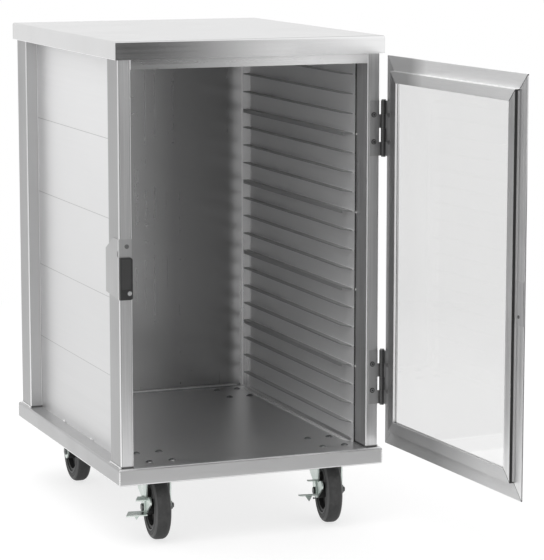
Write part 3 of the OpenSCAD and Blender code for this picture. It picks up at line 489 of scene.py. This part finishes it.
# The back sheet's corner strips, painted far lighter than the sheet: painted light.
STRIP_PAINTED_LIGHT = aluminium("corner_strip", grey(1.0), GRAIN_Z, 0.30, 0.3, 0.03)
BEAD = aluminium("sealing_bead", grey(0.80), (0.3, 0.9, 0.3), 0.34, 0.0, 0.08, 300.0)
BRIGHT_RIVET = aluminium("bright_rivet", grey(0.96), GRAIN_Z, 0.22, 0.0, 0.04)
# A tyre's shoulder ring painted lighter: a painted highlight.
TYRE_RING_HIGHLIGHT = moulded("tyre_shoulder", grey(0.145), grey(0.24), 0.5, 0.5, 900.0, 0.0003)
# Dark rings and discs as painted shade round and in each screw head.
SCREW_SHADE = moulded("screw_shade", grey(0.04), grey(0.07), 0.5, 0.3, 1500.0, 0.0001)
RIM_LIP = moulded("tyre_lip", grey(0.22), grey(0.34), 0.5, 0.4, 900.0)
MAGNET_FACE = moulded("magnet_face", grey(0.075), grey(0.12), 0.4, 0.3, 1800.0, 0.0001)

for row in frame["record"]["subparts"]:
    nodes[row["node"]].material_slots[0].material = FINISHES[row["material_slot"]]


# Softened edges

def soften(names, width, segments=2):
    """Rounds the sharp edges of a CAD node by a modifier, so that they catch the light."""
    for name in names:
        piece = nodes[name]
        weld = piece.modifiers.new("join_faces", "WELD")
        weld.merge_threshold = 1e-6
        bevel = piece.modifiers.new("round_edges", "BEVEL")
        bevel.width = width * MM
        bevel.segments = segments
        bevel.limit_method = "ANGLE"
        bevel.angle_limit = math.radians(40)


soften(["door_top_rail", "door_bottom_rail", "door_hinge_stile", "door_free_stile"], 0.7)
soften(["header_front", "header_rear", "header_left", "header_right"], 0.8)
soften(["magnet_block"], 0.6)
soften(["deck_pan"], 1.2)


# Added pieces

def finish_piece(name, mesh_maker, body, material, smooth=True):
    """Turns a bmesh into a piece of the scene that rides on a body."""
    mesh = bpy.data.meshes.new(name)
    bmesh.ops.recalc_face_normals(mesh_maker, faces=mesh_maker.faces)
    mesh_maker.to_mesh(mesh)
    mesh_maker.free()
    for face in mesh.polygons:
        face.use_smooth = smooth
    piece = bpy.data.objects.new(name, mesh)
    scene.collection.objects.link(piece)
    mesh.materials.append(material)
    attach(piece, body)
    return piece


def sweep(bm, points, radii, sides=12):
    """A closed tube through points, in millimetres, with its own radius at each."""
    rings = []
    path = [Vector(p) for p in points]
    for i, point in enumerate(path):
        ahead = (path[min(i + 1, len(path) - 1)] - path[max(i - 1, 0)]).normalized()
        side = ahead.cross(Vector((0.31, 0.17, 0.93)) if abs(ahead.z) < 0.9 else Vector((1, 0, 0))).normalized()
        up = side.cross(ahead)
        ring = []
        for k in range(sides):
            turn = 2 * math.pi * k / sides
            out = side * math.cos(turn) + up * math.sin(turn)
            ring.append(bm.verts.new((point + out * radii[i]) * MM))
        rings.append(ring)
    for low, high in zip(rings, rings[1:]):
        for k in range(sides):
            bm.faces.new((low[k], low[(k + 1) % sides], high[(k + 1) % sides], high[k]))
    bm.faces.new(rings[0][::-1])
    bm.faces.new(rings[-1])


def upright_prism(bm, outline, low, high):
    """A closed prism between two heights over an outline of (x, y) points, in millimetres."""
    rings = [[bm.verts.new(Vector((x, y, z)) * MM) for x, y in outline] for z in (low, high)]
    for k in range(len(outline)):
        j = (k + 1) % len(outline)
        bm.faces.new((rings[0][k], rings[0][j], rings[1][j], rings[1][k]))
    bm.faces.new(rings[0][::-1])
    bm.faces.new(rings[1])


def weld_bead(bm, start, end, radius, pitch, seed):
    """A run of overlapping weld ripples from start to end."""
    draw = random.Random(seed)
    start, end = Vector(start), Vector(end)
    length = (end - start).length
    steps = max(6, int(length / pitch * 5))
    points, radii = [], []
    for i in range(steps + 1):
        t = i / steps
        ripple = (t * length / pitch) % 1.0
        ends = min(1.0, 0.35 + 3.0 * min(t, 1 - t) * length / (2.5 * radius))
        radii.append(radius * ends * (0.74 + 0.3 * math.sin(math.pi * ripple)) * draw.uniform(0.96, 1.04))
        points.append(start.lerp(end, t))
    sweep(bm, points, radii)


def tack(bm, centre, size, seed):
    """A lump of weld, sunk half into the joint."""
    made = bmesh.ops.create_icosphere(bm, subdivisions=3, radius=1.0)
    offset = Vector((seed * 3.7, seed * 1.3, 0.0))
    for v in made["verts"]:
        swell = 1.0 + 0.18 * noise.noise(v.co * 1.7 + offset)
        v.co = Vector((v.co.x * size[0], v.co.y * size[1], v.co.z * size[2])) * swell + Vector(centre)
        v.co *= MM


# Where the panels' feet are tacked to the deck, and how far inside the deck's faces its corner welds stay
TACK_PLACES_Y = (110.0, -74.0)
FACE_CLEARANCE = 0.03


def make_welds():
    """The welds at the deck's corners, at the posts' and panels' feet and at the rows' front ends."""
    bm = bmesh.new()
    for i, (sx, sy) in enumerate(((-1, -1), (1, -1), (-1, 1), (1, 1))):
        x, y = sx * (DECK_X - 1.3), sy * (DECK_Y - 0.9)
        weld_bead(bm, (x, y, DECK_FOOT_Z + 1.6), (x, y, DECK_Z - 3.6), 1.7, 3.2, 10 + i)
    for v in bm.verts:
        v.co.x = max(v.co.x, -(DECK_X - FACE_CLEARANCE) * MM)
        v.co.y = min(v.co.y, (DECK_Y - FACE_CLEARANCE) * MM)
    finish_piece("deck_corner_welds", bm, "cabinet", WELD)

    bm = bmesh.new()
    seed = 30
    for sx in (-1, 1):
        for front, back in ((FRONT_Y, FRONT_Y + POST_DEPTH), (REAR_Y - POST_DEPTH, REAR_Y)):
            weld_bead(bm, (sx * (POST_OUT_X + 0.4), front + 5.0, DECK_Z + 1.4),
                      (sx * (POST_OUT_X + 0.4), back - 5.0, DECK_Z + 1.4), 1.7, 3.4, seed + 50)
            for y in (front + 3.0, back - 2.0):
                tack(bm, (sx * (POST_OUT_X + 0.6), y, DECK_Z + 0.5), (2.4, 4.5, 2.6), seed)
                seed += 1
        for y in TACK_PLACES_Y:
            tack(bm, (sx * (POST_IN_X + 1.2), y, DECK_Z + 1.0), (3.0, 6.0, 4.0), seed)
            seed += 1
    finish_piece("post_foot_welds", bm, "cabinet", WELD)

    bm = bmesh.new()
    for sx in (-1, 1):
        for z in ROW_SEAMS:
            tack(bm, (sx * (POST_IN_X - 0.6), PANEL_FRONT_Y - 0.4, z), (1.3, 2.0, 2.6), seed)
            seed += 1
    finish_piece("row_seam_welds", bm, "cabinet", WELD)


def caster_frame(corner):
    """The swivelled frame of a caster's axle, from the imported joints."""
    joint = next(j for j in frame["joints"] if j["name"] == corner + "_roll")
    across = Vector(joint["axis"]).normalized()
    forward = Vector((0, 0, 1)).cross(across)
    turned = Matrix((across, forward, Vector((0, 0, 1)))).transposed().to_4x4()
    return Matrix.Translation(Vector(joint["pos_m"])) @ turned


def lathe(bm, profile, steps=128):
    """Turns a closed profile of (along the axle, radius) points, in millimetres, about X."""
    rings = []
    for k in range(steps):
        turn = 2 * math.pi * k / steps
        rings.append([bm.verts.new(Vector((x, r * math.cos(turn), r * math.sin(turn))) * MM) for x, r in profile])
    count = len(profile)
    for k in range(steps):
        one, two = rings[k], rings[(k + 1) % steps]
        for i in range(count):
            j = (i + 1) % count
            bm.faces.new((one[i], one[j], two[j], two[i]))


def tyre_profile():
    """Half of the tyre's section from the hub out to the middle of the tread, then mirrored."""
    half = [(12.6, 43.0), (14.3, 43.2), (15.2, 44.2), (15.3, 45.6), (14.6, 46.8), (14.3, 47.7), (14.9, 49.2),
            (15.5, 50.8)]
    for k in range(12):
        turn = math.radians(1.0 + 7.5 * k)
        half.append((4.4 + 11.35 * math.cos(turn), 52.0 + 11.35 * math.sin(turn)))
    half += [(2.0, 63.38), (0.6, 63.38), (0.3, 63.48)]
    return half + [(-x, r) for x, r in reversed(half)]


# The ring on a tyre's shoulder painted lighter as a painted highlight: from and to which radius, and how far out along
# the axle it starts
PAINTED_RING_FROM, PAINTED_RING_TO, PAINTED_RING_OUT = 54.5, 60.6, 12.0


def make_tyres():
    """The turned tyres, each with a painted highlight on its shoulder ring, and the lips beside its rim."""
    for corner in CORNERS:
        bm = bmesh.new()
        lathe(bm, tyre_profile())
        for face in bm.faces:
            middle = face.calc_center_median() / MM
            painted_ring = PAINTED_RING_FROM < math.hypot(middle.y, middle.z) < PAINTED_RING_TO and abs(middle.x) > PAINTED_RING_OUT
            face.material_index = 1 if painted_ring else 0
        bm.transform(caster_frame(corner))
        piece = finish_piece(corner + "_tread", bm, corner + "_wheel", FINISHES["tyre_rubber"])
        piece.data.materials.append(TYRE_RING_HIGHLIGHT)
        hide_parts(corner + "_tyre")
        bm = bmesh.new()
        for side in (-1, 1):
            lip = []
            for k in range(10):
                turn = 2 * math.pi * k / 10
                lip.append((side * (14.9 + 0.75 * math.cos(turn)), 44.9 + 1.15 * math.sin(turn)))
            lathe(bm, lip, 96)
        bm.transform(caster_frame(corner))
        finish_piece(corner + "_rim_lips", bm, corner + "_wheel", RIM_LIP)


def make_fork_studs():
    """The small stud at the foot of each braked fork's left leg."""
    outline = [(-31.0, 0.02), (-31.0, 1.1), (-30.5, 1.7), (-28.9, 1.9), (-28.4, 1.5), (-28.4, 1.1), (-24.0, 1.1),
               (-24.0, 0.02)]
    below_axle = 15.6
    for corner in ("front_left", "front_right"):
        bm = bmesh.new()
        lathe(bm, outline, 24)
        bmesh.ops.translate(bm, verts=bm.verts, vec=Vector((0.0, 0.0, -below_axle)) * MM)
        bm.transform(caster_frame(corner))
        finish_piece(corner + "_stud", bm, corner + "_swivel", FINISHES["axle_steel"], smooth=False)


def turned_ring(bm, centre, outline, steps=24):
    """A ring or dome turned about a screw's own line, which runs towards the front (-y), in millimetres."""
    first = len(bm.verts)
    lathe(bm, outline, steps)
    bm.verts.ensure_lookup_table()
    turn = Matrix.Translation(Vector(centre) * MM) @ Matrix.Rotation(math.radians(-90.0), 4, "Z")
    bmesh.ops.transform(bm, matrix=turn, verts=bm.verts[first:])


def make_screw_shades():
    """Painted shade round each screw head, as a dark ring, and in its recess, as a dark disc."""
    screw_x, from_end, leaf_front, head = 250.5, 27.2, -336.0, 1.55
    bm = bmesh.new()
    for leaf in ("upper_hinge_frame_leaf", "lower_hinge_frame_leaf"):
        low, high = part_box(leaf)
        for z in (low.z / MM + from_end, high.z / MM - from_end):
            turned_ring(bm, (screw_x, leaf_front, z), [(-0.2, 3.9), (-0.2, 5.0), (0.35, 5.0), (0.6, 4.7), (0.6, 3.9)])
            turned_ring(bm, (screw_x, leaf_front - head, z), [(-0.3, 0.05), (-0.3, 1.35), (0.12, 1.35), (0.12, 0.05)])
    finish_piece("screw_shades", bm, "cabinet", SCREW_SHADE, smooth=False)


def make_slot_shade():
    """A black piece as painted shade in the slot at the catch bracket's fold."""
    outline = ((-264.6, -334.1), (-264.6, -331.6), (-263.55, -331.6), (-263.55, -333.05), (-261.1, -333.05),
               (-261.1, -334.1))
    bm = bmesh.new()
    upright_prism(bm, outline, 554.2, 563.8)
    finish_piece("catch_slot_shade", bm, "cabinet", FINISHES["magnet_plastic"], smooth=False)


def rounded_plate(bm, low, high, corner, y_front, y_back, edge=0.3):
    """A plate in the XZ plane with round corners and a small chamfer on its front."""
    outline = []
    for cx, cz, start in ((high[0] - corner, high[1] - corner, 0), (low[0] + corner, high[1] - corner, 90),
                          (low[0] + corner, low[1] + corner, 180), (high[0] - corner, low[1] + corner, 270)):
        for k in range(7):
            turn = math.radians(start + 15 * k)
            outline.append((cx, cz, math.cos(turn), math.sin(turn)))
    rings = []
    for y, inset in ((y_back, 0.0), (y_front + edge, 0.0), (y_front, edge)):
        rings.append([bm.verts.new(Vector((cx + (corner - inset) * c, y, cz + (corner - inset) * s)) * MM)
                      for cx, cz, c, s in outline])
    count = len(outline)
    for one, two in zip(rings, rings[1:]):
        for k in range(count):
            bm.faces.new((one[k], one[(k + 1) % count], two[(k + 1) % count], two[k]))
    bm.faces.new(rings[0])
    bm.faces.new(rings[-1][::-1])


def make_corner_strips():
    """The back sheet's turned edges, which lie over the side panels' rear ends: the ledges poke through them."""
    front, rear = 281.0, REAR_Y - 2.0
    bm = bmesh.new()
    for side in (-1, 1):
        wall = side * PANEL_IN_X
        outline = ((wall + side * 0.3, front), (wall - side * 0.15, front), (wall - side * 0.45, front + 0.3),
                   (wall - side * 0.45, rear), (wall + side * 0.3, rear))
        upright_prism(bm, outline, DECK_Z + 1.0, 912.0)
    finish_piece("rear_corner_strips", bm, "cabinet", STRIP_PAINTED_LIGHT, smooth=False)


def make_foot_beads():
    """The sealing beads along the foot of the side panels and of the back sheet."""
    bm = bmesh.new()
    draw = random.Random(77)
    bead_z = DECK_Z + 3.0
    for side in (-1, 1):
        points = [(side * (PANEL_IN_X - 2.0), y, bead_z) for y in range(-280, 290, 10)]
        radii = [4.2 + draw.uniform(-0.12, 0.12) for _ in points]
        sweep(bm, points, [0.6, 2.8] + radii[2:], 16)
    points = [(x, REAR_Y - 2.0, bead_z) for x in range(-228, 229, 12)]
    sweep(bm, points, [3.6 + draw.uniform(-0.1, 0.1) for _ in points], 16)
    finish_piece("foot_beads", bm, "cabinet", BEAD)


def make_strike_rivet():
    """The domed rivet of the strike plate, where the open door carries it."""
    bm = bmesh.new()
    turned_ring(bm, (-246.5, -340.8, 494.0), [(0.3, 0.0005), (0.3, 2.4), (-0.1, 2.3), (-0.35, 1.9), (-0.55, 1.2),
                                              (-0.62, 0.6), (-0.64, 0.0005)])
    open_door = (Matrix.Translation(HINGE * MM) @ Matrix.Rotation(DOOR_OPEN, 4, "Z")
                 @ Matrix.Translation(-HINGE * MM))
    bm.transform(open_door)
    finish_piece("strike_rivet", bm, "door", BRIGHT_RIVET)


def make_magnet_face():
    """The raised face of the magnet's case, above its screw."""
    low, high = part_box("magnet_block")
    bm = bmesh.new()
    rounded_plate(bm, (low.x / MM + 2.6, low.z / MM + 20.0), (high.x / MM - 4.2, high.z / MM - 3.0), 2.2,
                  low.y / MM - 0.35, low.y / MM + 0.6)
    finish_piece("magnet_face", bm, "cabinet", MAGNET_FACE, smooth=False)


make_welds()
make_tyres()
make_fork_studs()
make_screw_shades()
make_slot_shade()
make_corner_strips()
make_foot_beads()
make_strike_rivet()
make_magnet_face()


# Camera, light and floor

def place_camera():
    """The photograph's viewpoint, fitted to the cabinet's corners."""
    target = Vector((0.1341, -0.1, 0.4586))
    azimuth, elevation, distance = math.radians(-21.606), math.radians(8.972), 5.051
    back = Vector((math.sin(azimuth) * math.cos(elevation), -math.cos(azimuth) * math.cos(elevation),
                   math.sin(elevation)))
    data = bpy.data.cameras.new("photo_camera")
    data.sensor_width = 36.0
    data.lens = 162.04
    camera = bpy.data.objects.new("photo_camera", data)
    scene.collection.objects.link(camera)
    camera.location = target + back * distance
    camera.rotation_euler = (-back).to_track_quat("-Z", "Y").to_euler()
    data.clip_start, data.clip_end = 0.1, 60.0
    scene.camera = camera


# Brightness of the studio by compass angle, from straight in front, in degrees towards the right
STUDIO_ROUND = ((-180, 1.0), (-128, 1.0), (-116, 0.35), (-96, 0.35), (-80, 0.9), (-50, 0.9), (-40, 0.36),
                (-20, 0.3), (-8, 0.22), (14, 0.2), (19, 0.36), (22, 0.72), (28, 0.95), (60, 1.0), (110, 0.95),
                (180, 1.0))


def seen_directly(w):
    """1 for what the camera sees straight or through glass."""
    path = w.add("LightPath").outputs
    return w.math("MAXIMUM", path["Is Camera Ray"], path["Is Transmission Ray"])


def fill_ramp(w, value, stops):
    """A colour ramp of greys through (place from 0 to 1, grey) stops."""
    ramp = w.add("ValToRGB", {0: value})
    elements = ramp.color_ramp.elements
    for i, (spot_at, tone) in enumerate(stops):
        last = i == len(stops) - 1
        stop = elements[0] if i == 0 else elements[len(elements) - 1] if last else elements.new(spot_at)
        stop.position = spot_at
        stop.color = (tone, tone, tone, 1.0)
    return ramp.outputs[0]


# The studio's ceiling: its grey, and the heights on the round of the sky between which it takes over
CEILING_TONE, CEILING_STARTS, CEILING_FULL = 0.9, 0.25, 0.75


def light_studio():
    """A pale studio with graded walls, and one soft lamp overhead."""
    world = bpy.data.worlds.new("pale_studio")
    scene.world = world
    world.use_nodes = True
    w = Wiring(world.node_tree)
    heading = w.add("SeparateXYZ", {0: w.add("TexCoord").outputs["Generated"]}).outputs
    angle = w.math("ARCTAN2", heading[0], w.math("MULTIPLY", heading[1], -1.0))
    walls = fill_ramp(w, w.remap(angle, -math.pi, math.pi), [((a + 180.0) / 360.0, v) for a, v in STUDIO_ROUND])
    studio = w.blend(w.remap(heading[2], CEILING_STARTS, CEILING_FULL), walls, (CEILING_TONE,) * 3)
    shown = w.blend(seen_directly(w), studio, (1.0, 1.0, 1.0))
    background = w.add("Background", {"Color": shown, "Strength": 1.0})
    w.add("OutputWorld", {"Surface": background.outputs[0]})

    lamp = bpy.data.lights.new("overhead_softbox", "AREA")
    lamp.shape = "RECTANGLE"
    lamp.size, lamp.size_y = 2.6, 2.2
    lamp.energy = 27.0
    holder = bpy.data.objects.new("overhead_softbox", lamp)
    scene.collection.objects.link(holder)
    holder.location = (-0.9, -0.4, 3.1)
    holder.rotation_euler = (Vector((0.2, 0.0, 0.0)) - holder.location).to_track_quat("-Z", "Y").to_euler()
    holder.visible_glossy = False


def flat_sheet(name, corners, material):
    """A flat four-cornered sheet of the studio."""
    bm = bmesh.new()
    bm.faces.new([bm.verts.new(corner) for corner in corners])
    mesh = bpy.data.meshes.new(name)
    bm.to_mesh(mesh)
    bm.free()
    sheet = bpy.data.objects.new(name, mesh)
    scene.collection.objects.link(sheet)
    mesh.materials.append(material)
    return sheet


# The floor's own grey, what it shows near the cabinet, and the distances between which it fades to white
FLOOR_TONE, FLOOR_GLOW = 0.36, 0.72
FADE_STARTS, FADE_ENDS = 1.3, 2.6


def make_floor():
    """White paper: it takes the shadow near the cabinet and fades to plain white far from it."""
    material, w, shader, at = start_material("studio_paper")
    away = w.add("VectorMath", {0: at, 1: (0.0, -0.1, 0.0)}, operation="DISTANCE").outputs["Value"]
    far = w.remap(away, FADE_STARTS, FADE_ENDS)
    near_tone = w.blend(w.noise(at, 3.0, 3.0), (FLOOR_TONE,) * 3, (FLOOR_TONE + 0.01,) * 3)
    w.feed(shader.inputs["Base Color"], w.blend(far, near_tone, (0.0, 0.0, 0.0)))
    shader.inputs["Roughness"].default_value = 0.95
    shader.inputs["Specular IOR Level"].default_value = 0.0
    lit = w.math("MAXIMUM", seen_directly(w), w.add("LightPath").outputs["Is Glossy Ray"])
    glow = w.blend(far, (FLOOR_GLOW,) * 3, (1.0, 1.0, 1.0))
    w.feed(shader.inputs["Emission Color"], w.blend(lit, (0.0, 0.0, 0.0), glow))
    shader.inputs["Emission Strength"].default_value = 1.0
    flat_sheet("studio_floor", ((-5.0, -4.0, 0.0), (6.0, -4.0, 0.0), (6.0, 9.0, 0.0), (-5.0, 9.0, 0.0)), material)


# What the front of the cabinet mirrors: greys along a card that stands in front of it, from its left to its right
CARD_LEFT, CARD_RIGHT, CARD_LOW, CARD_HIGH, CARD_Y = -1.2, 1.4, 0.01, 2.0, -1.15
CARD_UPPER = ((-1.2, 0.9), (-0.3, 0.8), (-0.16, 0.25), (-0.08, 0.06), (0.06, 0.06), (0.17, 0.18), (0.34, 0.68),
              (0.48, 0.95), (0.62, 1.0), (1.4, 1.0))
CARD_LOWER = ((-1.2, 0.5), (-0.7, 0.74), (-0.35, 0.74), (-0.2, 0.3), (0.1, 0.3), (0.2, 0.3), (0.32, 0.2),
              (0.42, 0.04), (0.52, 0.04), (0.6, 0.36), (0.85, 0.40), (1.4, 0.3))


def make_front_card():
    """A graded card that only reflections see."""
    material = bpy.data.materials.new("front_card_paper")
    material.use_nodes = True
    w = Wiring(material.node_tree)
    here = w.add("SeparateXYZ", {0: w.add("TexCoord").outputs["Object"]}).outputs
    along = w.remap(here[0], CARD_LEFT, CARD_RIGHT)
    width = CARD_RIGHT - CARD_LEFT
    upper = fill_ramp(w, along, [((x - CARD_LEFT) / width, v) for x, v in CARD_UPPER])
    lower = fill_ramp(w, along, [((x - CARD_LEFT) / width, v) for x, v in CARD_LOWER])
    glow = w.add("Emission", {"Color": w.blend(w.remap(here[2], 0.66, 0.76), lower, upper), "Strength": 1.0})
    w.add("OutputMaterial", {"Surface": glow.outputs[0]})
    card = flat_sheet("front_card", ((CARD_LEFT, CARD_Y, CARD_LOW), (CARD_RIGHT, CARD_Y, CARD_LOW),
                                     (CARD_RIGHT, CARD_Y, CARD_HIGH), (CARD_LEFT, CARD_Y, CARD_HIGH)), material)
    card.visible_camera = card.visible_diffuse = card.visible_transmission = card.visible_shadow = False


place_camera()
light_studio()
make_floor()
make_front_card()
scene.view_settings.view_transform = "Standard"
